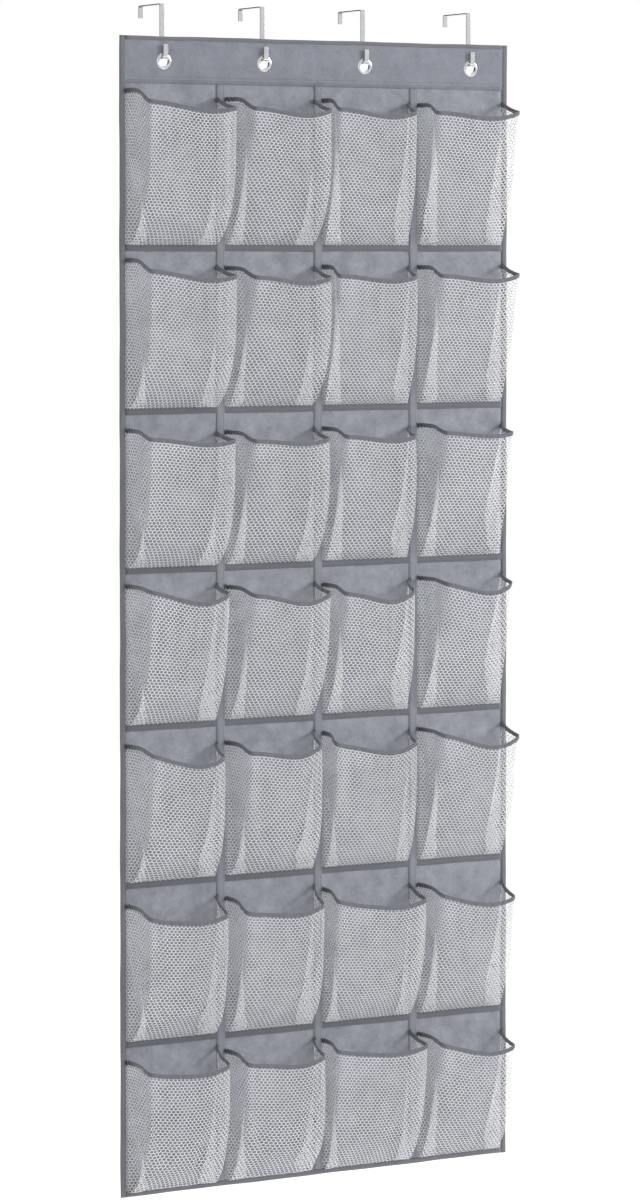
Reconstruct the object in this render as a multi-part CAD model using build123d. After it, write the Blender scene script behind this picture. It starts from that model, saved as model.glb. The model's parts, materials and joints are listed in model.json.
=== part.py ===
from build123d import *
import os

# Over-the-door shoe organizer: a fabric panel with seven rows of four mesh pockets,
# hung by four flat steel hooks through grommets in its header band.
#
# Frame, in mm: the origin is on the top front edge of the door, at the middle of the
# organizer's width. +X runs along the door, +Y through the door, +Z up. The door fills
# y from 0 to door_gap below z = 0, and the organizer hangs in front of it, towards -Y.

# Door hooks, bent from flat strap
door_gap = 60.0
strap_width = 6.5
strap_thickness = 1.5
strap_edge_radius = 0.3
lip_length = 15.0
arm_corner_radius = 2.5
hook_rise = 42.0            # from the panel's top edge up to the underside of the hook's arm
j_gap = 9.5                 # inside width of the J that holds the grommet
j_corner_radius = 2.0
j_rest = 4.5                # inside bottom of the J above the grommet's centre
tip_height = 22.0           # top of the J's front leg above the grommet's centre

# Grommets
grommet_x = (-227.0, -80.0, 71.0, 234.0)
grommet_drop = 31.5         # below the panel's top edge
hole_radius = 6.5
barrel_wall = 0.6
flange_radius = 10.8
flange_rise = 1.0
washer_radius = 10.2
washer_thickness = 0.8

# Panel and header
panel_width = 580.0
panel_height = 1500.0
panel_thickness = 1.5
header_height = 60.0
header_thickness = 1.0

# Pocket grid
columns = 4
row_heights = (217.0, 211.0, 206.0, 203.0, 204.0, 206.0, 193.0)
mouth_below_seam = 17.0     # from the tape above down to where the mouth meets the panel
mouth_front_drop = 18.0     # the front of the mouth is lower than its two ends
pocket_depth = 65.0
pocket_margin = 8.0         # between a pocket and the edge of its cell
mesh_thickness = 1.0

# Tapes and bindings
binding_thickness = 0.8
side_binding_width = 7.0
top_binding_width = 5.0
bottom_binding_width = 6.5
row_tape_height = 9.0
row_tape_thickness = 0.7
column_tape_width = 11.8
column_tape_thickness = 1.4
mouth_binding_height = 5.0
mouth_binding_thickness = 0.7

# Planes that follow from them
stack_middle_y = -strap_thickness - j_gap / 2
panel_back_y = stack_middle_y + (panel_thickness + header_thickness) / 2
panel_front_y = panel_back_y - panel_thickness
header_front_y = panel_front_y - header_thickness
panel_top_z = -hook_rise
panel_bottom_z = panel_top_z - panel_height
header_bottom_z = panel_top_z - header_height
grommet_z = panel_top_z - grommet_drop
panel_span = (-panel_width / 2, panel_width / 2)
column_pitch = panel_width / columns
pocket_width = column_pitch - 2 * pocket_margin


def block(x, y, z):
    """A box from three (low, high) pairs."""
    size = [high - low for low, high in (x, y, z)]
    middle = [(high + low) / 2 for low, high in (x, y, z)]
    return Pos(*middle) * Box(*size)


def row_bottom(row):
    """Height of the lower edge of a row, counted from 0 at the top."""
    return header_bottom_z - sum(row_heights[: row + 1])


def column_middle(column):
    return -panel_width / 2 + (column + 0.5) * column_pitch


def along_y(x, z, radius, y_from, y_to):
    """A cylinder along Y."""
    middle = (y_from + y_to) / 2
    return Pos(x, middle, z) * Rot(90, 0, 0) * Cylinder(radius, abs(y_to - y_from))


def grommet_holes(radius):
    """Four plugs that cut the grommet holes through the panel and header."""
    return [along_y(x, grommet_z, radius, header_front_y - 5, panel_back_y + 5) for x in grommet_x]


def back_panel():
    sheet = block(panel_span, (panel_front_y, panel_back_y), (panel_bottom_z, panel_top_z))
    return sheet - grommet_holes(hole_radius + barrel_wall)


def header_band():
    strip = block(panel_span, (header_front_y, panel_front_y), (header_bottom_z, panel_top_z))
    return strip - grommet_holes(hole_radius + barrel_wall)


def wrapped_edge(x, z, panel, header):
    """A folded strip over an edge of the panel, front and back."""
    thickness = (header_front_y - binding_thickness, panel_back_y + binding_thickness)
    return block(x, thickness, z) - panel - header


def edge_bindings(panel, header):
    half = panel_width / 2
    outer = half + binding_thickness
    inner = half - side_binding_width
    height = (panel_bottom_z - binding_thickness, panel_top_z + binding_thickness)
    top = (panel_top_z - top_binding_width, height[1])
    bottom = (height[0], panel_bottom_z + bottom_binding_width)
    return {
        "left_binding": wrapped_edge((-outer, -inner), height, panel, header),
        "right_binding": wrapped_edge((inner, outer), height, panel, header),
        "top_binding": wrapped_edge((-inner, inner), top, panel, header),
        "bottom_binding": wrapped_edge((-inner, inner), bottom, panel, header),
    }


def row_tape(row):
    """The tape sewn over the bottoms of one row of pockets."""
    reach = panel_width / 2 - side_binding_width
    z = row_bottom(row)
    front = panel_front_y - row_tape_thickness
    return block((-reach, reach), (front, panel_front_y), (z, z + row_tape_height))


def column_tape(number, row_tapes):
    """The tape sewn down between two columns, over the row tapes."""
    x = -panel_width / 2 + number * column_pitch
    tape = block(
        (x - column_tape_width / 2, x + column_tape_width / 2),
        (panel_front_y - column_tape_thickness, panel_front_y),
        (panel_bottom_z + bottom_binding_width, header_bottom_z),
    )
    return tape - row_tapes


def side_prism(points, half_width):
    """A prism along X from its outline of (y, z) points."""
    return extrude(Plane.YZ * make_face(Polyline(*points, close=True)), half_width, both=True)


class Pocket:
    """One mesh pocket with its bottom seam at z = 0 and its back open against the panel at y = 0."""

    def __init__(self, height):
        self.height = height
        self.half = pocket_width / 2
        self.slope = mouth_front_drop / pocket_depth
        self.lean = pocket_depth / (height - mouth_front_drop)

    def behind_front(self, offset, half_width):
        """Everything behind the front face moved outwards by offset, past the panel and the mouth."""
        shift = offset * (1 + self.lean**2) ** 0.5
        low, high, back = -20.0, self.height + 20.0, 20.0
        front = [(-self.lean * z - shift, z) for z in (high, low)]
        return side_prism([(back, high), *front, (back, low)], half_width)

    def under_mouth(self, top, bottom):
        """The slab from top above the mouth's plane down to bottom below it, or to the seam."""
        far = -pocket_depth - 5.0
        edge = self.height + self.slope * far
        lows = [(far, 0.0), (0.0, 0.0)]
        if bottom is not None:
            lows = [(far, edge + bottom), (0.0, self.height + bottom)]
        return side_prism([(0.0, self.height + top), (far, edge + top), *lows], pocket_width)

    def shell(self):
        """A sloping front and two triangular gussets, open at the mouth."""
        outside = self.behind_front(0.0, self.half) & self.under_mouth(0.0, None)
        return outside - self.behind_front(-mesh_thickness, self.half - mesh_thickness)

    def binding(self, shell):
        """The strip folded over the mouth's edge, on both faces of the mesh."""
        fold = mouth_binding_thickness
        inset = mesh_thickness + fold
        band = self.under_mouth(fold, -mouth_binding_height)
        outside = self.behind_front(fold, self.half + fold) & band
        return outside - self.behind_front(-inset, self.half - inset) - shell


def row_of_pockets(row):
    """The four mesh shells and four mouth bindings of one row, in place."""
    above = row_bottom(row) + row_heights[row]
    last = row == len(row_heights) - 1
    seam = row_bottom(row) + (bottom_binding_width if last else row_tape_height)
    pocket = Pocket(above - mouth_below_seam - seam)
    shell = pocket.shell()
    binding = pocket.binding(shell)
    places = [Pos(column_middle(column), panel_front_y, seam) for column in range(columns)]
    return [place * shell for place in places], [place * binding for place in places]


def hook(x):
    """One door hook: lip behind the door, arm over it, strap down its front, J through the grommet."""
    half = strap_thickness / 2
    tip_y = -strap_thickness - j_gap - half
    j_bottom = grommet_z + j_rest - half
    centre_line = FilletPolyline(
        (x, door_gap + half, -lip_length),
        (x, door_gap + half, half),
        (x, -half, half),
        (x, -half, j_bottom),
        (x, tip_y, j_bottom),
        (x, tip_y, grommet_z + tip_height),
        radius=[arm_corner_radius] * 2 + [j_corner_radius + half] * 2,
    )
    start = Plane(origin=(x, door_gap + half, -lip_length), x_dir=(1, 0, 0), z_dir=(0, 0, 1))
    section = RectangleRounded(strap_width, strap_thickness, strap_edge_radius)
    return sweep(start * section, path=centre_line)


def eyelet(x):
    """A grommet's front flange, domed, on the barrel that goes through the fabric."""
    outer = hole_radius + barrel_wall
    back = panel_back_y + washer_thickness - header_front_y
    inner_lip = (hole_radius, 0.4 * flange_rise)
    crown = ((hole_radius + flange_radius) / 2, flange_rise)
    flange = Polyline(inner_lip, (hole_radius, -back), (outer, -back), (outer, 0), (flange_radius, 0))
    dome = ThreePointArc((flange_radius, 0), crown, inner_lip)
    ring = revolve(make_face([*flange.edges(), dome]), Axis.Y)
    return Pos(x, header_front_y, grommet_z) * Rot(180, 0, 0) * ring


def washer(x):
    """The ring on the back that the barrel is set into."""
    outer = along_y(x, grommet_z, washer_radius, panel_back_y, panel_back_y + washer_thickness)
    return outer - along_y(x, grommet_z, hole_radius + barrel_wall, panel_back_y - 1, panel_back_y + 2)


def build():
    """Every node of the organizer by name."""
    panel, header = back_panel(), header_band()
    tapes = [row_tape(row) for row in range(len(row_heights) - 1)]
    nodes = {"back_panel": panel, "header_band": header}
    nodes.update(edge_bindings(panel, header))
    for row, tape in enumerate(tapes, 1):
        nodes[f"row_tape_{row}"] = tape
    for number in range(1, columns):
        nodes[f"column_tape_{number}"] = column_tape(number, tapes)
    for row in range(len(row_heights)):
        shells, bindings = row_of_pockets(row)
        for column, shell in enumerate(shells, 1):
            nodes[f"pocket_r{row + 1}_c{column}"] = shell
        nodes[f"mouth_binding_row_{row + 1}"] = Compound(children=bindings)
    nodes["grommet_eyelets"] = Compound(children=[eyelet(x) for x in grommet_x])
    nodes["grommet_washers"] = Compound(children=[washer(x) for x in grommet_x])
    for number, x in enumerate(grommet_x, 1):
        nodes[f"hook_{number}"] = hook(x)
    return nodes


os.makedirs("parts", exist_ok=True)
for name, shape in build().items():
    export_step(shape, f"parts/{name}.step")
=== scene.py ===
"""Looks of the over-the-door shoe organizer: mesh pockets, tapes, bindings, panel, hooks and the studio."""
import bpy
import json
import math
from collections import namedtuple

import numpy as np
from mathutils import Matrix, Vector


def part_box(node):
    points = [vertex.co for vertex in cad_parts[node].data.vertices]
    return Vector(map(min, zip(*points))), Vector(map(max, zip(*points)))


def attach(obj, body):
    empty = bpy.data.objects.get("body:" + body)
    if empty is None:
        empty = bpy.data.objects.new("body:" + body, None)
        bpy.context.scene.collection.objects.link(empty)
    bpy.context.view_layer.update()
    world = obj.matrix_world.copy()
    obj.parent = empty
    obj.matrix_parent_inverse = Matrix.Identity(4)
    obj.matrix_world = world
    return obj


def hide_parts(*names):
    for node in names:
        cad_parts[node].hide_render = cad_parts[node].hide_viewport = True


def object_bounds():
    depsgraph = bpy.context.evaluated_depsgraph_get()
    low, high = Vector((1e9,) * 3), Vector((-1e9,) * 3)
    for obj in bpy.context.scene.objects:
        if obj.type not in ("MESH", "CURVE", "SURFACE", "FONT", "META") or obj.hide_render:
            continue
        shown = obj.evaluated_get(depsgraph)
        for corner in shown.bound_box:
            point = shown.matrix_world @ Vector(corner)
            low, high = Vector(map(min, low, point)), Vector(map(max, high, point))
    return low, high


MM = 0.001
ROWS, COLUMNS = 7, 4

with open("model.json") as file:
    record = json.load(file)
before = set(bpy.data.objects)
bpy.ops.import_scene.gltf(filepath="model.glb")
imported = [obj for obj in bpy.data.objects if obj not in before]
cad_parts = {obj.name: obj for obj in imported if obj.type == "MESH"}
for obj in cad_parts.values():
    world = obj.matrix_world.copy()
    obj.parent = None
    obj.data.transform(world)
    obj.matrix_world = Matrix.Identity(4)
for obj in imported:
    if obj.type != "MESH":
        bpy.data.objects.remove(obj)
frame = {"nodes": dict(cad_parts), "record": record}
cad_low, cad_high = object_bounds()

panel_low, panel_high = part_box("back_panel")
header_low, header_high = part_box("header_band")
FRONT = panel_low.y                      # the panel's front face; pockets stand out from it towards -Y
rng = np.random.default_rng(28)


# ---------------------------------------------------------------- materials

class Nodes:
    """A small helper round one material's node tree."""

    def __init__(self, name):
        self.material = bpy.data.materials.new(name)
        self.material.use_nodes = True
        self.tree = self.material.node_tree
        self.shader = self.tree.nodes["Principled BSDF"]

    def add(self, kind, **settings):
        node = self.tree.nodes.new(kind)
        for key, value in settings.items():
            if key in node.inputs:
                node.inputs[key].default_value = value
            else:
                setattr(node, key, value)
        return node

    def link(self, output, target):
        self.tree.links.new(output, target)

    def coordinates(self, kind="Object"):
        return self.add("ShaderNodeTexCoord").outputs[kind]

    def stretched(self, source, scale):
        mapping = self.add("ShaderNodeMapping")
        mapping.inputs["Scale"].default_value = scale
        self.link(source, mapping.inputs["Vector"])
        return mapping.outputs["Vector"]

    def noise(self, source, scale, detail=3.0, roughness=0.55):
        node = self.add("ShaderNodeTexNoise", Scale=scale, Detail=detail, Roughness=roughness)
        self.link(source, node.inputs["Vector"])
        return node.outputs["Fac"]

    def ramp(self, source, *stops):
        node = self.add("ShaderNodeValToRGB")
        elements = node.color_ramp.elements
        while len(elements) < len(stops):
            elements.new(0.5)
        for element, (place, colour) in zip(elements, stops):
            element.position = place
            element.color = (*colour, 1.0)
        self.link(source, node.inputs["Fac"])
        return node.outputs["Color"]

    def mixed(self, factor, first, second, how="MIX"):
        """Mixes two colours. Each value is a socket, a number or a colour."""
        node = self.add("ShaderNodeMix", data_type="RGBA", blend_type=how)
        for index, value in ((0, factor), (6, first), (7, second)):
            if isinstance(value, bpy.types.NodeSocket):
                self.link(value, node.inputs[index])
            else:
                node.inputs[index].default_value = value if isinstance(value, float) else (*value, 1.0)
        return node.outputs["Result"]

    def maths(self, operation, a, b=0.0):
        node = self.add("ShaderNodeMath", operation=operation)
        for index, value in enumerate((a, b)):
            if isinstance(value, bpy.types.NodeSocket):
                self.link(value, node.inputs[index])
            else:
                node.inputs[index].default_value = value
        return node.outputs["Value"]

    def bump(self, height, strength, distance):
        node = self.add("ShaderNodeBump", Strength=strength, Distance=distance)
        self.link(height, node.inputs["Height"])
        return node.outputs["Normal"]

    def finish(self, colour, roughness, normal=None):
        self.link(colour, self.shader.inputs["Base Color"])
        if isinstance(roughness, float):
            self.shader.inputs["Roughness"].default_value = roughness
        else:
            self.link(roughness, self.shader.inputs["Roughness"])
        if normal is not None:
            self.link(normal, self.shader.inputs["Normal"])
        return self.material


def nonwoven_material(name, dark, light):
    """Pressed fibre cloth: cloudy mottling, loose fibres and the fine pin dots of its bonding."""
    n = Nodes(name)
    place = n.coordinates()
    clouds = n.noise(place, 48.0, 6.0, 0.72)
    fibres = n.noise(n.stretched(place, (1.0, 1.0, 0.35)), 900.0, 3.0, 0.7)
    colour = n.ramp(clouds, (0.34, dark), (0.66, light))
    fleck = n.ramp(fibres, (0.3, (0.35, 0.35, 0.36)), (0.7, (0.72, 0.72, 0.74)))
    colour = n.mixed(0.35, colour, fleck, "OVERLAY")
    dots = n.add("ShaderNodeTexVoronoi", Scale=620.0)
    n.link(n.stretched(place, (1.0, 0.02, 1.0)), dots.inputs["Vector"])
    pits = n.ramp(dots.outputs["Distance"], (0.12, (0.0, 0.0, 0.0)), (0.38, (1.0, 1.0, 1.0)))
    height = n.maths("ADD", n.maths("MULTIPLY", fibres, 0.6), n.maths("MULTIPLY", pits, 0.4))
    n.shader.inputs["Sheen Weight"].default_value = 0.15
    n.shader.inputs["Sheen Roughness"].default_value = 0.5
    n.shader.inputs["Specular IOR Level"].default_value = 0.25
    rough = n.ramp(clouds, (0.3, (0.86, 0.86, 0.86)), (0.7, (0.95, 0.95, 0.95)))
    return n.finish(colour, rough, n.bump(height, 0.35, 0.0004))


def tape_material(name, dark, light, painted_ruche_shade=None):
    """Woven edging tape. Its UV map is in metres: U along the tape, V across it.

    The last argument, if given, is the colour of painted shade in the folds of the ruching, laid on where
    the mesh attribute of the same name is 1."""
    n = Nodes(name)
    place = n.coordinates("UV")
    ribs = n.add("ShaderNodeTexWave", Scale=260.0, Distortion=0.6, bands_direction="X")
    cross = n.add("ShaderNodeTexWave", Scale=330.0, Distortion=0.4, bands_direction="Y")
    for wave in (ribs, cross):
        n.link(place, wave.inputs["Vector"])
    weave = n.maths("MULTIPLY", ribs.outputs["Fac"], cross.outputs["Fac"])
    wear = n.noise(n.coordinates(), 55.0, 4.0)
    colour = n.ramp(weave, (0.0, dark), (0.8, light))
    rubbed = n.ramp(wear, (0.3, (0.4, 0.4, 0.41)), (0.7, (0.62, 0.62, 0.63)))
    colour = n.mixed(0.3, colour, rubbed, "OVERLAY")
    # Painted shade: a dark colour mixed in where the ruching's folds would lie in shade.
    if painted_ruche_shade is not None:
        share = n.add("ShaderNodeAttribute", attribute_name="painted_ruche_shade").outputs["Fac"]
        colour = n.mixed(share, colour, painted_ruche_shade)
    n.shader.inputs["Sheen Weight"].default_value = 0.3
    n.shader.inputs["Sheen Roughness"].default_value = 0.4
    n.shader.inputs["Specular IOR Level"].default_value = 0.3
    rough = n.ramp(wear, (0.3, (0.7, 0.7, 0.7)), (0.7, (0.85, 0.85, 0.85)))
    return n.finish(colour, rough, n.bump(weave, 0.6, 0.0003))


def mesh_material():
    """The pockets' knitted polyester yarn: nearly white, slightly shiny, twisted filaments."""
    n = Nodes("pocket_mesh_yarn")
    place = n.coordinates()
    patches = n.noise(place, 18.0, 3.0)
    filaments = n.noise(n.stretched(place, (1.0, 1.0, 0.25)), 2600.0, 2.0)
    colour = n.ramp(patches, (0.3, (0.71, 0.71, 0.73)), (0.7, (0.78, 0.78, 0.795)))
    twist = n.ramp(filaments, (0.3, (0.4, 0.4, 0.41)), (0.7, (0.6, 0.6, 0.6)))
    colour = n.mixed(0.25, colour, twist, "OVERLAY")
    n.shader.inputs["Sheen Weight"].default_value = 0.2
    n.shader.inputs["Specular IOR Level"].default_value = 0.35
    rough = n.ramp(filaments, (0.3, (0.5, 0.5, 0.5)), (0.7, (0.68, 0.68, 0.68)))
    return n.finish(colour, rough, n.bump(filaments, 0.4, 0.0002))


def thread_material():
    """Twisted sewing thread. Its dark colour is partly painted shade: besides the thread it stands in for
    the shadow of the seam's puckering.
    """
    n = Nodes("sewing_thread")
    twist = n.noise(n.coordinates(), 3000.0, 2.0)
    # Dark thread colour, partly painted shade of the puckered seam.
    colour = n.ramp(twist, (0.3, (0.07, 0.072, 0.08)), (0.7, (0.13, 0.133, 0.145)))
    return n.finish(colour, 0.6)


def metal_material():
    """Bright plated strip: drawn lines along it, a few handling marks."""
    n = Nodes("bright_plate")
    place = n.coordinates()
    lines = n.noise(n.stretched(place, (9.0, 1.0, 0.4)), 420.0, 3.0)
    marks = n.noise(place, 120.0, 4.0, 0.7)
    colour = n.ramp(marks, (0.25, (0.56, 0.565, 0.58)), (0.6, (0.76, 0.765, 0.78)))
    n.shader.inputs["Metallic"].default_value = 1.0
    rough = n.ramp(marks, (0.3, (0.2, 0.2, 0.2)), (0.7, (0.1, 0.1, 0.1)))
    return n.finish(colour, rough, n.bump(lines, 0.12, 0.0001))


PANEL_CLOTH = nonwoven_material("panel_nonwoven", (0.205, 0.216, 0.242), (0.3, 0.314, 0.345))
HEADER_CLOTH = nonwoven_material("header_nonwoven", (0.19, 0.2, 0.228), (0.235, 0.248, 0.28))
BINDING = tape_material("edge_binding", (0.125, 0.128, 0.145), (0.245, 0.25, 0.272))
# The mouth binding's last colour is painted shade for the folds of its ruching.
MOUTH = tape_material(
    "mouth_binding", (0.11, 0.114, 0.13), (0.22, 0.226, 0.25), painted_ruche_shade=(0.035, 0.037, 0.044))
ROW_TAPE = tape_material("row_tape", (0.11, 0.113, 0.13), (0.21, 0.214, 0.24))
COLUMN_TAPE = tape_material("column_tape", (0.2, 0.211, 0.235), (0.32, 0.335, 0.37))
YARN = mesh_material()
THREAD = thread_material()
METAL = metal_material()


# ---------------------------------------------------------------- mesh helpers

def new_piece(name, points, faces, materials, nodes, uv=None, face_slots=None):
    """A smooth mesh object riding on the organizer. points is (n, 3) in metres, faces are indices."""
    mesh = bpy.data.meshes.new(name)
    mesh.from_pydata(np.asarray(points).tolist(), [], [list(map(int, f)) for f in faces])
    if uv is not None:
        layer = mesh.uv_layers.new(name="cloth")
        corner = np.empty(len(mesh.loops), dtype=np.int32)
        mesh.loops.foreach_get("vertex_index", corner)
        layer.data.foreach_set("uv", np.asarray(uv)[corner].astype(np.float32).ravel())
    for material in materials:
        mesh.materials.append(material)
    if face_slots is not None:
        mesh.polygons.foreach_set("material_index", np.asarray(face_slots, dtype=np.int32))
    mesh.polygons.foreach_set("use_smooth", np.full(len(mesh.polygons), True))
    mesh.update()
    piece = bpy.data.objects.new(name, mesh)
    bpy.context.scene.collection.objects.link(piece)
    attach(piece, "organizer")
    if nodes:
        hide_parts(*nodes)
    return piece


def grid_faces(across, along, wrap=False):
    """Quads of a grid of points numbered [along][across]; wrap closes it across."""
    i = np.arange(across if wrap else across - 1)
    j = np.arange(along - 1)[:, None]
    a, b = j * across + i, j * across + (i + 1) % across
    return np.stack([a, b, b + across, a + across], axis=-1).reshape(-1, 4)


def unit(vectors):
    return vectors / np.maximum(np.linalg.norm(vectors, axis=-1, keepdims=True), 1e-12)


class Strip:
    """A strip of cloth with a rounded section, swept along a path, and its stitches."""

    SIDES = 16                          # points round the section

    def __init__(self):
        self.points, self.faces, self.uv, self.slots, self.count = [], [], [], [], 0

    def add(self, points, faces, uv, slot):
        self.points.append(points)
        self.faces.extend([[int(v) + self.count for v in face] for face in faces])
        self.uv.append(uv)
        self.slots.extend([slot] * len(faces))
        self.count += len(points)

    def sweep(self, path, side, up, width, thickness, puff):
        """side and up are unit vectors at each path point: across the strip, and out of it.

        puff is how much thicker than thickness the strip is there."""
        turn = np.linspace(0, 2 * math.pi, self.SIDES, endpoint=False)
        c, s = np.cos(turn), np.sin(turn)
        section_x = np.sign(c) * np.abs(c) ** 0.6 * width / 2
        section_y = np.sign(s) * np.abs(s) ** 0.7 * thickness / 2
        ring = (
            path[:, None]
            + side[:, None] * section_x[None, :, None]
            + up[:, None] * (section_y[None, :] * puff[:, None])[..., None]
        )
        run = np.concatenate([[0], np.cumsum(np.linalg.norm(np.diff(path, axis=0), axis=1))])
        uv = np.stack(np.broadcast_arrays(run[:, None], section_x[None, :]), axis=-1).reshape(-1, 2)
        faces = grid_faces(self.SIDES, len(path), wrap=True).tolist()
        faces.append(list(range(self.SIDES))[::-1])
        faces.append(list(range((len(path) - 1) * self.SIDES, len(path) * self.SIDES)))
        self.add(ring.reshape(-1, 3), faces, uv, 0)

    # The thread is drawn thicker than real sewing thread, so that with its dark colour it also stands in
    # for the painted shade of the seam's puckering.
    def stitch(self, path, up, pitch=3.4 * MM, length=2.5 * MM, thread=0.8 * MM):
        """A row of lockstitches along a path: short humps of thread that dip in at both ends."""
        run = np.concatenate([[0], np.cumsum(np.linalg.norm(np.diff(path, axis=0), axis=1))])
        starts = np.arange(pitch / 2, run[-1] - pitch, pitch)

        def at(where, values):
            return np.stack([np.interp(where, run, values[:, k]) for k in range(3)], axis=-1)

        lift = unit(at(starts + length / 2, up))
        a, b = at(starts, path), at(starts + length, path)
        across = unit(np.cross(b - a, lift)) * thread / 2
        middle, top = (a + b) / 2, lift * thread * 0.5
        corners = np.stack([a, middle + across, middle + top, middle - across, b], axis=1)
        faces = np.array([[0, 1, 2], [0, 2, 3], [4, 2, 1], [4, 3, 2]])
        firsts = np.arange(len(starts)) * corners.shape[1]
        every = (faces[None] + firsts[:, None, None]).reshape(-1, 3)
        self.add(corners.reshape(-1, 3), every, np.zeros((corners.size // 3, 2)), 1)

    def piece(self, name, material, slot, nodes):
        return new_piece(
            name, np.concatenate(self.points), self.faces, [material, THREAD], nodes,
            np.concatenate(self.uv), self.slots,
        )


# ---------------------------------------------------------------- pockets

# How each row of pockets hangs, in mm, with one value for each of its four pockets where they differ.
#   ends: how far the two ends of the mouth are below the tape above them
#   left, right: how far the folds stand in from their seams at the mouth
#   out: how far the folds stand out from the panel at the mouth
#   left_hold, right_hold: how far down a fold stays out, as a power of the height
#   drop, sag: how far the mouth's front is below its ends, and how much more its middle hangs
#   crisp, round_off: how far the left and right folds are rounded at the mouth
#   belly: how far the front swells
#   shoulder, reach: where the mouth's left end starts and stops dropping, in widths of the gusset
Style = namedtuple(
    "Style", "ends left right out left_hold right_hold drop sag crisp round_off belly shoulder reach")
STYLES = (
    Style(((8, 17), (17, 17), (16, 20), (20, 17)), (4, 11, -6, -6), (2, 8, 21, 11), (64, 64, 57, 64),
          (4, 1.2, 1.3, 1.1), (4, 3, 2, 1.2), 13, 7, 2.5, 6, 1, 0.3, (1.04, 1.04, 1.04, 1.04)),
    Style(((10, 19), (20, 20), (18, 20), (19, 18)), (5, 13, -6, 1), (2, 8, 20, 11), (64, 64, 57, 64),
          (4, 1.2, 1.3, 1.1), (4, 3, 2, 1.2), 12, 7, 2.5, 6, 1, 0.3, (1.04, 1.04, 1.04, 1.04)),
    Style(((18, 24), (23, 22), (21, 23), (19, 23)), (4, 11, 2, 8), (4, 11, 26, 21), (64, 64, 64, 64),
          (4, 1.2, 1.2, 1.1), (4, 3, 2, 1.1), 9, 5, 2.5, 6, 1, 0.3, (1.04, 1.04, 1.04, 1.04)),
    Style(((13, 17), (19, 19), (21, 21), (18, 18)), (4, 10, 0, 9), (12, 8, 27, 21), (64, 64, 64, 64),
          (4.2, 1.5, 1.5, 1.1), (1.8, 2, 1.8, 1.1), 7, 12, 8, 10, 3, 0.3, (1.75, 1.1, 1.1, 1.5)),
    Style(((16, 21), (20, 13), (15, 20), (17, 18)), (6, 3, -6, 3), (19.5, 22, 13, 9), (64, 64, 46, 64),
          (4.4, 3, 3, 1.2), (2.4, 2.6, 2.2, 1.2), 11, 11, 9, 11, 5, 0.3, (1.6, 1.15, 1.3, 2.2)),
    Style(((20, 16), (20, 13), (18, 22), (23, 28)), (2, -3, -6, 1), (14.5, 18, 0, 16), (64, 64, 51, 64),
          (4.2, 2.8, 3, 1.4), (3, 2.4, 2.4, 1.5), 14, 8, 9, 10, 7, 0.24, (1.5, 1.3, 1.5, 1.8)),
    Style(((16, 9), (15, 12), (13, 14), (17, 26)), (1, -1, -6, 2), (12, 17, -2, 16), (64, 64, 51, 64),
          (4.2, 2.8, 3, 1.4), (3, 3, 2.4, 1.6), 11, 8, 9, 10, 8, 0.24, (1.5, 1.3, 1.5, 1.8)),
)
GUSSET_STEPS, FRONT_STEPS, FLANGE_STEPS = 16, 28, 2
UP_STEPS, HEM_STEPS = 40, 1
ACROSS = 2 * (FLANGE_STEPS + GUSSET_STEPS) + FRONT_STEPS + 1     # grid points round a pocket
FLANGE = 4 * MM                         # mesh that runs on under the tapes beside a pocket
HEM = 4 * MM                            # and under the tape below it
HEM_FLAT = 0.6                          # how far the hem stands out, over the seam above it
UNDER_TAPE = 0.8 * MM                   # how far below the tape's top edge the bottom seam runs
SEWN_OUT = 0.5 * MM                     # how far the folds stand out at the bottom seam
LEFT_TRIM = 1.5 * MM                    # what the rounding of the folds takes off their places,
RIGHT_TRIM = 2.0 * MM                   # given back here
OUT_TRIM = 1.5 * MM
CLEAR = 0.4 * MM                        # between the mesh and the panel
SETTLE_FRAMES = 16                      # how long the cloth simulation runs
MOST_SHIFT = 4.5 * MM                   # and the furthest it may move a point
CREASE = 0.45                           # rounding of a sharp fold, in grid steps
ROUNDED_FROM, ROUNDED_OVER = 0.45, 0.5  # where the folds start to open, and over how much of the height
STEPS_PER_MM = 0.5 / 4.2                # turns a mm of rounding into grid steps
END_VARY, MOUTH_VARY = 0.7, 1.2         # how far, in mm, the mouths differ at random
HOLD_VARY, BELLY_VARY = 0.06, 0.2       # and by what share the folds and the swelling do
GATHERED = 0.84                         # share of the gusset's width left in the bottom seam
SPARE = 1.006                           # and at the mouth, where the spare cloth tucks inwards


def smoothstep(x):
    x = np.clip(x, 0, 1)
    return x * x * (3 - 2 * x)


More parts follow.
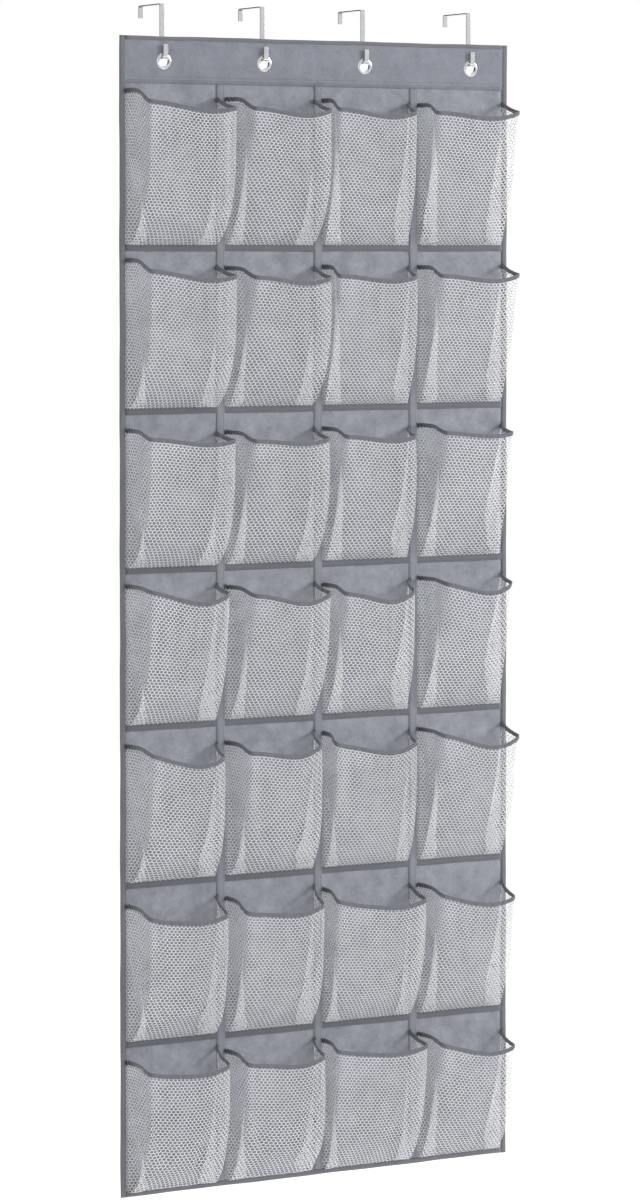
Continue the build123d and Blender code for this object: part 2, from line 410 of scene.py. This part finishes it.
class Pocket:
    """The cloth of one pocket as a grid of points, [height][across]."""

    def __init__(self, row, column):
        self.row, self.column = row, column
        self.name = f"pocket_r{row + 1}_c{column + 1}"
        low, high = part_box(self.name)
        self.left, self.right = low.x, high.x
        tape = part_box(f"row_tape_{row + 1}" if row < ROWS - 1 else "bottom_binding")
        self.bottom = tape[1].z - UNDER_TAPE
        self.above = header_low.z if row == 0 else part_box(f"row_tape_{row}")[0].z
        style = STYLES[row]
        vary = rng.uniform(-1, 1, 8)
        self.style = style
        self.ends = [(end + END_VARY * change) * MM for end, change in zip(style.ends[column], vary)]
        self.left_in = style.left[column] * MM - LEFT_TRIM
        self.right_in = style.right[column] * MM - RIGHT_TRIM
        self.out = style.out[column] * MM + OUT_TRIM
        self.left_hold = style.left_hold[column] * (1 + HOLD_VARY * vary[2])
        self.right_hold = style.right_hold[column] * (1 + HOLD_VARY * vary[3])
        self.drop = (style.drop + MOUTH_VARY * vary[4]) * MM
        self.sag = (style.sag + MOUTH_VARY * vary[5]) * MM
        self.belly = style.belly * (1 + BELLY_VARY * vary[7]) * MM
        self.points = self.shape()

    def gusset(self, hold, inset, v):
        """Seam, tuck and fold of one side at height share v, as (in from seam, out from panel)."""
        out = SEWN_OUT + (self.out - SEWN_OUT) * (1 - (1 - v) ** hold)
        stand = inset * v**0.5
        reach = math.hypot(stand, out)
        cloth = math.hypot(inset, self.out) * (GATHERED + (SPARE - GATHERED) * v)
        tuck = math.sqrt(max(cloth**2 - reach**2, 0)) / 2
        fold = np.array([stand, out])
        inwards = np.array([out, -stand]) / reach
        middle = fold / 2 + inwards * tuck
        middle[1] = max(middle[1], SEWN_OUT / 2)
        return np.zeros(2), middle, fold

    def section(self, v):
        """The pocket's plan at height share v, from its left seam round to its right one."""
        width = self.right - self.left
        seam, tuck, fold = self.gusset(self.left_hold, self.left_in, v)
        corners = [seam - [FLANGE, 0], seam, tuck, fold]
        seam, tuck, fold = self.gusset(self.right_hold, self.right_in, v)
        corners += [[width - p[0], p[1]] for p in (fold, tuck, seam, seam - [FLANGE, 0])]
        steps = [FLANGE_STEPS, GUSSET_STEPS // 2, GUSSET_STEPS // 2, FRONT_STEPS]
        steps += steps[2::-1]
        line = [np.array(corners[0])[None]]
        for a, b, n in zip(corners, corners[1:], steps):
            line.append(np.linspace(a, b, n + 1)[1:])
        line = np.concatenate(line)
        t = np.clip((np.arange(len(line)) - FLANGE_STEPS - GUSSET_STEPS) / FRONT_STEPS, 0, 1)
        opened = smoothstep((v - ROUNDED_FROM) / ROUNDED_OVER) * STEPS_PER_MM
        left = self.rounded(line, CREASE + self.style.crisp * opened)
        right = self.rounded(line, CREASE + self.style.round_off * opened)
        line = left + (right - left) * smoothstep(t)[:, None]
        line[:, 1] += self.belly * math.sin(math.pi * min(v, 1) ** 0.8) * np.sin(math.pi * t)
        return line

    @staticmethod
    def rounded(line, steps):
        """Rounds the folds of a section by averaging over some steps, with its ends kept."""
        reach = 12
        kernel = np.exp(-0.5 * (np.arange(-reach, reach + 1) / steps) ** 2)
        kernel /= kernel.sum()
        before = 2 * line[0] - line[reach:0:-1]
        after = 2 * line[-1] - line[-2:-reach - 2:-1]
        padded = np.concatenate([before, line, after])
        return np.stack([np.convolve(padded[:, k], kernel, mode="valid") for k in range(2)], axis=-1)

    def mouth_heights(self):
        """Height of the mouth's edge, across the grid."""
        style = self.style
        i = np.arange(ACROSS) - FLANGE_STEPS
        left = smoothstep((i / GUSSET_STEPS - style.shoulder) / (style.reach[self.column] - style.shoulder))
        back = (2 * GUSSET_STEPS + FRONT_STEPS - i) / GUSSET_STEPS
        right = smoothstep(back)
        t = np.clip((i - GUSSET_STEPS) / FRONT_STEPS, 0, 1)
        sag = self.sag * np.sin(math.pi * t**1.7)
        lean = smoothstep(i / (2 * GUSSET_STEPS + FRONT_STEPS))
        ends = self.ends[0] + (self.ends[1] - self.ends[0]) * lean
        return self.above - ends - self.drop * np.minimum(left, right) - sag

    def shape(self):
        top = self.mouth_heights()
        shares = np.linspace(0, 1, UP_STEPS + 1)
        rows = [self.section(v) for v in shares]
        heights = [self.bottom + (top - self.bottom) * v for v in shares]
        rows.insert(0, rows[0] * [1, HEM_FLAT])
        heights.insert(0, heights[0] - HEM)
        plan, z = np.array(rows), np.array(heights)
        out = np.maximum(plan[..., 1], 0) + CLEAR
        return np.stack([self.left + plan[..., 0], FRONT - out, z], axis=-1)


def pinned():
    """Which points of a pocket's grid are sewn down: its seams, hem and bound mouth."""
    fixed = np.zeros((HEM_STEPS + UP_STEPS + 1, ACROSS), bool)
    fixed[: HEM_STEPS + 1] = fixed[-1] = True
    fixed[:, : FLANGE_STEPS + 1] = fixed[:, -FLANGE_STEPS - 1:] = True
    return fixed


def settle(pockets):
    """Cloth simulation of all the pockets at once: slightly slack mesh hanging from its seams."""
    grids = np.array([p.points for p in pockets])
    count, up, across, _ = grids.shape
    faces = grid_faces(across, up)
    every = (faces[None] + (np.arange(count) * up * across)[:, None, None]).reshape(-1, 4)
    ripple = rng.normal(0, 0.25 * MM, grids.shape[:3]) * ~pinned()
    start = grids.copy()
    start[..., 1] -= ripple
    mesh = bpy.data.meshes.new("settling")
    mesh.from_pydata(start.reshape(-1, 3).tolist(), [], every.tolist())
    cloth = bpy.data.objects.new("settling", mesh)
    bpy.context.scene.collection.objects.link(cloth)
    held = cloth.vertex_groups.new(name="sewn")
    held.add(np.flatnonzero(np.tile(pinned().ravel(), count)).tolist(), 1.0, "REPLACE")
    modifier = cloth.modifiers.new("cloth", "CLOTH")
    settings = modifier.settings
    settings.vertex_group_mass = held.name
    settings.quality = 5
    settings.mass = 0.12
    settings.tension_stiffness = settings.compression_stiffness = 12
    settings.shear_stiffness = 4
    settings.bending_stiffness = 0.12
    settings.shrink_min = -0.012
    settings.air_damping = 3
    modifier.point_cache.frame_start, modifier.point_cache.frame_end = 1, SETTLE_FRAMES
    scene = bpy.context.scene
    for step in range(1, SETTLE_FRAMES + 1):
        scene.frame_set(step)
    shown = cloth.evaluated_get(bpy.context.evaluated_depsgraph_get())
    moved = np.empty(grids.size, np.float32)
    shown.data.vertices.foreach_get("co", moved)
    scene.frame_set(1)
    bpy.data.objects.remove(cloth)
    shift = moved.reshape(grids.shape) - grids
    far = np.linalg.norm(shift, axis=-1, keepdims=True)
    shift *= np.minimum(1, MOST_SHIFT / np.maximum(far, 1e-9))
    for pocket, move in zip(pockets, shift):
        pocket.points = pocket.points + move
        pocket.points[..., 1] = np.minimum(pocket.points[..., 1], FRONT - CLEAR)


def sampled(grid, across, up):
    """Points of a grid at fractional places, by Catmull-Rom curves both ways."""
    def weights(t):
        return np.stack([
            -0.5 * t + t**2 - 0.5 * t**3, 1 - 2.5 * t**2 + 1.5 * t**3,
            0.5 * t + 2 * t**2 - 1.5 * t**3, -0.5 * t**2 + 0.5 * t**3,
        ])

    i = np.clip(np.floor(across).astype(int), 0, grid.shape[1] - 2)
    j = np.clip(np.floor(up).astype(int), 0, grid.shape[0] - 2)
    wi, wj = weights(across - i), weights(up - j)
    total = np.zeros((*across.shape, 3))
    for a in range(4):
        for b in range(4):
            at = grid[np.clip(j + b - 1, 0, grid.shape[0] - 1), np.clip(i + a - 1, 0, grid.shape[1] - 1)]
            total += (wi[a] * wj[b])[..., None] * at
    return total


# The knitted mesh: rows of six-sided holes, each row half a hole along from the next.
HOLE_PITCH = 5.8 * MM
HOLE_ROW = 3.9 * MM
HOLE_SHARE = 0.83                       # width of a hole over the width of its cell
YARN_ROUND = 0.22 * MM                  # how far the yarn's edges fall back from its crown


def net_pattern(wide, tall):
    """Cell corners, hole corners and faces of the flat net, on a wide by tall cloth."""
    unit_s, unit_t = HOLE_PITCH / 2, HOLE_ROW / 3
    rows = np.arange(1, int(tall / HOLE_ROW))
    columns = np.arange(1, int(wide / HOLE_PITCH))
    j, i = np.meshgrid(rows, columns, indexing="ij")
    centre = np.stack([2 * i + j % 2, 3 * j], axis=-1).reshape(-1, 2)
    centre = centre[centre[:, 0] * unit_s < wide - unit_s]
    ring = np.array([[0, 2], [-1, 1], [-1, -1], [0, -2], [1, -1], [1, 1]])
    corner = centre[:, None] + ring
    keys, index = np.unique(corner.reshape(-1, 2), axis=0, return_inverse=True)
    outer = index.reshape(-1, 6)
    hole = centre[:, None] + ring * HOLE_SHARE
    inner = len(keys) + np.arange(len(centre) * 6).reshape(-1, 6)
    after = np.roll(np.arange(6), -1)
    faces = np.stack([outer, outer[:, after], inner[:, after], inner], axis=-1).reshape(-1, 4)
    flat = np.concatenate([keys, hole.reshape(-1, 2)]) * [unit_s, unit_t]
    return flat, len(keys), faces


def net_piece(pocket):
    """The pocket's mesh: its settled grid, cut into holes."""
    steps = np.array([FLANGE_STEPS, GUSSET_STEPS, FRONT_STEPS, GUSSET_STEPS, FLANGE_STEPS])
    front = pocket.right - pocket.left - pocket.left_in - pocket.right_in
    sides = [math.hypot(inset, pocket.out) * SPARE for inset in (pocket.left_in, pocket.right_in)]
    lengths = np.array([FLANGE, sides[0], front, sides[1], FLANGE])
    wide = lengths.sum()
    tall = pocket.above - pocket.ends[0] - pocket.bottom + HEM
    flat, crowns, faces = net_pattern(wide, tall)
    seams = np.concatenate([[0], lengths.cumsum()])
    across = np.interp(flat[:, 0], seams, np.concatenate([[0], steps.cumsum()]))
    last_across, last_up = steps.sum(), HEM_STEPS + UP_STEPS
    up = np.interp(flat[:, 1], [0, HEM, tall], [0, HEM_STEPS, last_up])
    points = sampled(pocket.points, across, up)
    near = 0.05
    ahead = sampled(pocket.points, np.clip(across + near, 0, last_across), up)
    above = sampled(pocket.points, across, np.clip(up + near, 0, last_up))
    behind = sampled(pocket.points, np.clip(across - near, 0, last_across), up)
    below = sampled(pocket.points, across, np.clip(up - near, 0, last_up))
    outwards = unit(np.cross(ahead - behind, above - below))
    fall = np.full((len(points), 1), YARN_ROUND)
    fall[:crowns] = 0
    points -= outwards * fall
    cloth = new_piece(f"{pocket.name}_cloth", points, faces, [YARN], [pocket.name])
    return cloth, wide, tall


# The binding of a pocket's mouth, its stitches, and the ruching beside its seams, with painted shade in its
# folds.
MOUTH_WIDTH, MOUTH_THICKNESS = 5.6 * MM, 2.3 * MM
MOUTH_BELOW = 2.2 * MM                  # from the mesh's edge down to the middle of the binding
SEAM_BELOW, SEAM_OUT = 1.6 * MM, 0.95 * MM      # from there to the stitches
GATHER_LENGTH, RUCHE_PITCH = 34 * MM, 6 * MM
RUCHE_RISE, RUCHE_OUT = 1.0 * MM, 0.7 * MM


def binding_piece(pocket):
    """The strip folded over the pocket's mouth, ruched beside the seams where it is drawn in, with painted
    shade in the folds of the ruching.
    """
    last = HEM_STEPS + UP_STEPS
    across = np.linspace(0.6, ACROSS - 1.6, 330)
    edge = sampled(pocket.points, across, np.full(across.shape, float(last)))
    below = sampled(pocket.points, across, np.full(across.shape, last - 0.8))
    run = unit(np.gradient(edge, axis=0))
    up = unit(edge - below)
    up = unit(up - run * (up * run).sum(axis=1, keepdims=True))
    out = np.cross(run, up)
    length = np.concatenate([[0], np.cumsum(np.linalg.norm(np.diff(edge, axis=0), axis=1))])
    ends = np.minimum(length, length[-1] - length)
    gather = smoothstep(1 - ends / GATHER_LENGTH)
    wander = rng.uniform(0, 2 * math.pi, 3)
    drift = 1.2 * np.sin(length / (9 * MM) + wander[1])
    ruche = gather * np.sin(2 * math.pi * length / RUCHE_PITCH + wander[0] + drift)
    path = edge + up * (ruche * RUCHE_RISE - MOUTH_BELOW)[:, None] + out * (ruche * RUCHE_OUT)[:, None]
    strip = Strip()
    strip.sweep(path, up, out, MOUTH_WIDTH, MOUTH_THICKNESS, 1 + 0.4 * ruche)
    strip.stitch(path - up * SEAM_BELOW + out * SEAM_OUT, out)
    piece = strip.piece(f"{pocket.name}_mouth", MOUTH, "tape", [f"mouth_binding_row_{pocket.row + 1}"])
    # Painted shade in the ruching: darker where the binding is drawn in, most in the troughs of its ruche,
    # kept as a mesh attribute for the mouth material.
    painted_fold_shade = gather * (0.75 - 0.25 * ruche / np.maximum(gather, 0.01))
    share = np.zeros(len(piece.data.vertices), np.float32)
    share[: Strip.SIDES * len(path)] = np.repeat(np.clip(painted_fold_shade, 0, 1), Strip.SIDES)
    piece.data.attributes.new("painted_ruche_shade", "FLOAT", "POINT").data.foreach_set("value", share)
    return piece


def make_pockets():
    """All the pockets and their bound mouths."""
    pockets = [Pocket(row, column) for row in range(ROWS) for column in range(COLUMNS)]
    settle(pockets)
    for pocket in pockets:
        cloth, wide, tall = net_piece(pocket)
        mouth = binding_piece(pocket)


# ---------------------------------------------------------------- panel, header, tapes and bindings

def grommet_centres():
    """Centres of the four grommets, from the hinges of the hooks that hang in them."""
    pivots = [Vector(joint["pos_m"]) for joint in frame["record"]["behaviour"]["joints"]]
    low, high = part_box("grommet_eyelets")
    return [(pivot.x, (low.z + high.z) / 2) for pivot in pivots]


def broken_line(low, high, fine, step, fine_step):
    """Grid lines from low to high, closer together inside the fine stretches."""
    stops = sorted({low, high, *(v for stretch in fine for v in stretch)})
    lines = [np.array([low])]
    for a, b in zip(stops, stops[1:]):
        close = any(c - 1e-9 <= a and b <= d + 1e-9 for c, d in fine)
        pieces = max(round((b - a) / (fine_step if close else step)), 1)
        lines.append(np.linspace(a, b, pieces + 1)[1:])
    return np.concatenate(lines)


def seam_distance(x, z):
    """How far a place on the panel is from the nearest tape or binding."""
    near = np.minimum.reduce([x - panel_low.x, panel_high.x - x, z - panel_low.z, panel_high.z - z])
    for row in range(1, ROWS):
        low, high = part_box(f"row_tape_{row}")
        near = np.minimum(near, np.abs(z - (low.z + high.z) / 2))
    for column in range(1, COLUMNS):
        low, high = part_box(f"column_tape_{column}")
        beside = np.where(z < high.z, np.abs(x - (low.x + high.x) / 2), near)
        near = np.minimum(near, beside)
    return np.minimum(near, np.abs(z - header_low.z))


def punched_sheet(name, low, high, step, wave, material, nodes):
    """A sheet of cloth in the XZ plane with the grommet holes through it, waving a little between seams."""
    hole = 7.3 * MM                     # radius of a grommet's hole
    half, side = 15 * MM, 8             # half of the finer square round it, and its cells along a side
    centres = grommet_centres()
    fine_x = [(cx - half, cx + half) for cx, _ in centres]
    fine_z = [(centres[0][1] - half, centres[0][1] + half)]
    xs = broken_line(low.x, high.x, fine_x, step, 2 * half / side)
    zs = broken_line(low.z, high.z, fine_z, step, 2 * half / side)
    flat = np.stack(np.meshgrid(xs, zs), axis=-1).reshape(-1, 2)
    faces = grid_faces(len(xs), len(zs))
    middle = flat[faces].mean(axis=1)
    inside = np.zeros(len(faces), bool)
    for cx, cz in centres:
        inside |= (abs(middle[:, 0] - cx) < half) & (abs(middle[:, 1] - cz) < half)
    faces = faces[~inside]
    border = [(i, 0) for i in range(side)] + [(side, i) for i in range(side)]
    border += [(side - i, side) for i in range(side)] + [(0, side - i) for i in range(side)]
    border = np.array(border)
    around = np.arange(4 * side)
    for cx, cz in centres:
        first_x = np.argmin(abs(xs - (cx - half)))
        first_z = np.argmin(abs(zs - (cz - half)))
        square = (first_z + border[:, 1]) * len(xs) + first_x + border[:, 0]
        turn = np.arctan2(flat[square, 1] - cz, flat[square, 0] - cx)
        circle = np.stack([cx + hole * np.cos(turn), cz + hole * np.sin(turn)], axis=-1)
        between = circle * 0.55 + flat[square] * 0.45
        rings = [square, len(flat) + around, len(flat) + 4 * side + around]
        flat = np.concatenate([flat, between, circle])
        for outer, inner in zip(rings, rings[1:]):
            band = np.stack([outer, np.roll(outer, -1), np.roll(inner, -1), inner], axis=-1)
            faces = np.concatenate([faces, band])
    used = np.unique(faces)
    number = np.zeros(len(flat), int)
    number[used] = np.arange(len(used))
    faces, flat = number[faces], flat[used]
    x, z = flat.T
    calm = smoothstep((seam_distance(x, z) - 8 * MM) / (35 * MM))
    y = wave * calm * (np.sin(x * 47 + 1.3 * np.sin(z * 21)) + 0.7 * np.sin(z * 63 + 2 * np.sin(x * 25)))
    front = np.stack([x, low.y + y, z], axis=-1)
    back = np.stack([x, high.y + y, z], axis=-1)
    pairs = np.stack([faces, np.roll(faces, -1, axis=1)], axis=-1).reshape(-1, 2)
    known = set(map(tuple, pairs.tolist()))
    rim = np.array([(p, q) for p, q in known if (q, p) not in known])
    count = len(flat)
    walls = np.stack([rim[:, 1], rim[:, 0], rim[:, 0] + count, rim[:, 1] + count], axis=-1)
    every = np.concatenate([faces, faces[:, ::-1] + count, walls])
    return new_piece(name, np.concatenate([front, back]), every, [material], nodes)


def flat_strip(node, material, stitch_lines, raised=0.0):
    """A tape or binding along the longest side of its CAD node's box, with its stitch lines.

    stitch_lines are places across the strip, from 0 to 1. Each shows on the back as well.
    raised is how much further forward the strip stands than its node, over the mesh under it."""
    low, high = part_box(node)
    low.y -= raised
    size, middle = high - low, (low + high) / 2
    upright = size.z > size.x
    length = size.z if upright else size.x
    width = size.x if upright else size.z
    count = max(int(length / (6 * MM)), 8)
    t = np.linspace(-length / 2, length / 2, count)
    wander = rng.uniform(0, 2 * math.pi, 4)
    sway = 0.25 * MM * (np.sin(t / 0.031 + wander[0]) + 0.6 * np.sin(t / 0.0127 + wander[1]))
    swell = 1 + 0.05 * np.sin(t / 0.017 + wander[2]) + 0.05 * np.sin(t / 0.0071 + wander[3])
    if upright:
        run, across = np.array([0, 0, -1.0]), np.array([1.0, 0, 0])
    else:
        run, across = np.array([1.0, 0, 0]), np.array([0, 0, 1.0])
    out = np.array([0, -1.0, 0])
    path = np.array(middle) + t[:, None] * run + sway[:, None] * across
    ups, sides = np.tile(out, (count, 1)), np.tile(across, (count, 1))
    strip = Strip()
    strip.sweep(path, sides, ups, width, size.y, swell)
    for place in stitch_lines:
        line = path + (place - 0.5) * width * across
        strip.stitch(line + out * size.y * 0.485, ups)
        back = line.copy()
        back[:, 1] = max(panel_high.y, high.y - 0.03 * size.y)
        strip.stitch(back, -ups)
    strip.piece(f"{node}_cloth", material, "tape", [node])


def make_panel():
    """The back panel and the header band, with the stitches along the band's lower edge."""
    panel = punched_sheet(
        "back_panel_cloth", panel_low, panel_high, 12 * MM, 0.35 * MM, PANEL_CLOTH, ["back_panel"])
    header = punched_sheet(
        "header_band_cloth", header_low, header_high, 8 * MM, 0.0, HEADER_CLOTH, ["header_band"])
    edge = header_stitches()


def header_stitches():
    """The two stitch lines that hold the header band's lower edge to the panel."""
    strip = Strip()
    x = np.linspace(header_low.x + 8 * MM, header_high.x - 8 * MM, 140)
    for rise in (4 * MM, 8.5 * MM):
        line = np.stack([x, np.full(x.shape, header_low.y), np.full(x.shape, header_low.z + rise)], axis=-1)
        strip.stitch(line, np.tile([0, -1.0, 0], (len(x), 1)))
        back = line.copy()
        back[:, 1] = panel_high.y
        strip.stitch(back, np.tile([0, 1.0, 0], (len(x), 1)))
    return strip.piece("header_band_stitches", THREAD, "nonwoven", [])


def make_tapes():
    """The tapes between the pockets and the bound edges. The row tapes lie over the column tapes."""
    for row in range(1, ROWS):
        flat_strip(f"row_tape_{row}", ROW_TAPE, stitch_lines=(0.22, 0.78), raised=0.5 * MM)
    for column in range(1, COLUMNS):
        flat_strip(f"column_tape_{column}", COLUMN_TAPE, stitch_lines=(0.16, 0.84), raised=0.25 * MM)
    flat_strip("top_binding", BINDING, stitch_lines=(0.3,))
    flat_strip("bottom_binding", BINDING, stitch_lines=(0.75,))
    flat_strip("left_binding", BINDING, stitch_lines=(0.78,))
    flat_strip("right_binding", BINDING, stitch_lines=(0.22,))


def plate_metal():
    """The CAD hooks and grommets keep their shapes and get the metal."""
    for node in ("hook_1", "hook_2", "hook_3", "hook_4", "grommet_eyelets", "grommet_washers"):
        for place in frame["nodes"][node].material_slots:
            place.material = METAL


# ---------------------------------------------------------------- studio

def make_world():
    """A white room. Only reflections and soft light see the dark flags that stand round it."""
    world = bpy.data.worlds.new("studio")
    bpy.context.scene.world = world
    world.use_nodes = True
    tree = world.node_tree
    output, room = tree.nodes["World Output"], tree.nodes["Background"]

    def add(kind, *inputs, **settings):
        node = tree.nodes.new(kind)
        for key, value in settings.items():
            setattr(node, key, value)
        for socket, source in zip(node.inputs, inputs):
            if isinstance(source, bpy.types.NodeSocket):
                tree.links.new(source, socket)
            else:
                socket.default_value = source
        return node

    ways = add("ShaderNodeSeparateXYZ", add("ShaderNodeTexCoord").outputs["Generated"])
    turn = add("ShaderNodeMath", ways.outputs["X"], ways.outputs["Y"], operation="ARCTAN2")
    share = add("ShaderNodeMapRange", turn.outputs["Value"], -math.pi, math.pi)
    flags = add("ShaderNodeValToRGB", share.outputs["Result"])
    stops = flags.color_ramp.elements
    dark, bright = (0.03, 0.03, 0.035, 1.0), (1.0, 1.0, 1.0, 1.0)
    places = (
        (0.0, bright), (0.17, bright), (0.19, dark), (0.21, dark), (0.23, bright), (0.35, bright),
        (0.37, dark), (0.48, dark), (0.50, bright), (0.70, bright), (0.71, dark), (0.735, dark),
        (0.745, bright),
    )
    while len(stops) < len(places):
        stops.new(0.5)
    for stop, (place, colour) in zip(stops, places):
        stop.position, stop.color = place, colour
    tree.links.new(flags.outputs["Color"], room.inputs["Color"])
    room.inputs["Strength"].default_value = 0.78
    seen = add("ShaderNodeBackground", (1.0, 1.0, 1.0, 1.0), 1.0)
    direct = add("ShaderNodeLightPath")
    mix = add(
        "ShaderNodeMixShader", direct.outputs["Is Camera Ray"], room.outputs["Background"],
        seen.outputs["Background"])
    tree.links.new(mix.outputs["Shader"], output.inputs["Surface"])


def make_studio():
    """A pale floor below the object, the white room, a key light from the right and a weak fill."""
    bpy.context.scene.view_settings.view_transform = "Standard"
    floor_drop = 0.35
    bpy.ops.mesh.primitive_plane_add(size=14, location=(0, 1.0, cad_low.z - floor_drop))
    floor = bpy.context.object
    floor.name = "floor"
    n = Nodes("studio_floor")
    speckle = n.noise(n.coordinates(), 30.0)
    n.shader.inputs["Emission Color"].default_value = (1, 1, 1, 1)
    n.shader.inputs["Emission Strength"].default_value = 0.4
    white = n.ramp(speckle, (0.3, (0.97, 0.97, 0.97)), (0.7, (0.99, 0.99, 0.99)))
    floor.data.materials.append(n.finish(white, 0.9))

    make_world()

    def lamp(name, place, aim, size, power):
        light = bpy.data.lights.new(name, "AREA")
        light.shape = "RECTANGLE"
        light.size, light.size_y = size
        light.energy = power
        holder = bpy.data.objects.new(name, light)
        bpy.context.scene.collection.objects.link(holder)
        holder.location = place
        holder.rotation_euler = (Vector(aim) - Vector(place)).to_track_quat("-Z", "Y").to_euler()

    middle = (cad_low + cad_high) / 2
    lamp("key", (2.9, -2.3, 0.9), middle, (1.1, 1.3), 84)
    lamp("fill", (-2.6, -2.8, -0.2), middle, (1.6, 2.4), 4)


def make_camera():
    """A long lens from the viewer's left, level with the upper rows and tilted down a little."""
    turn = math.radians(28.796)
    tilt = math.radians(1.444)
    camera = bpy.data.cameras.new("camera")
    camera.lens = 127.15
    camera.shift_y = -0.2
    camera.clip_end = 100
    holder = bpy.data.objects.new("camera", camera)
    bpy.context.scene.collection.objects.link(holder)
    holder.location = (-2.6916, FRONT - 4.9026, panel_high.z - 0.2794)
    holder.rotation_euler = (math.pi / 2 - tilt, 0, -turn)
    bpy.context.scene.camera = holder


make_panel()
make_tapes()
make_pockets()
plate_metal()
make_studio()
make_camera()
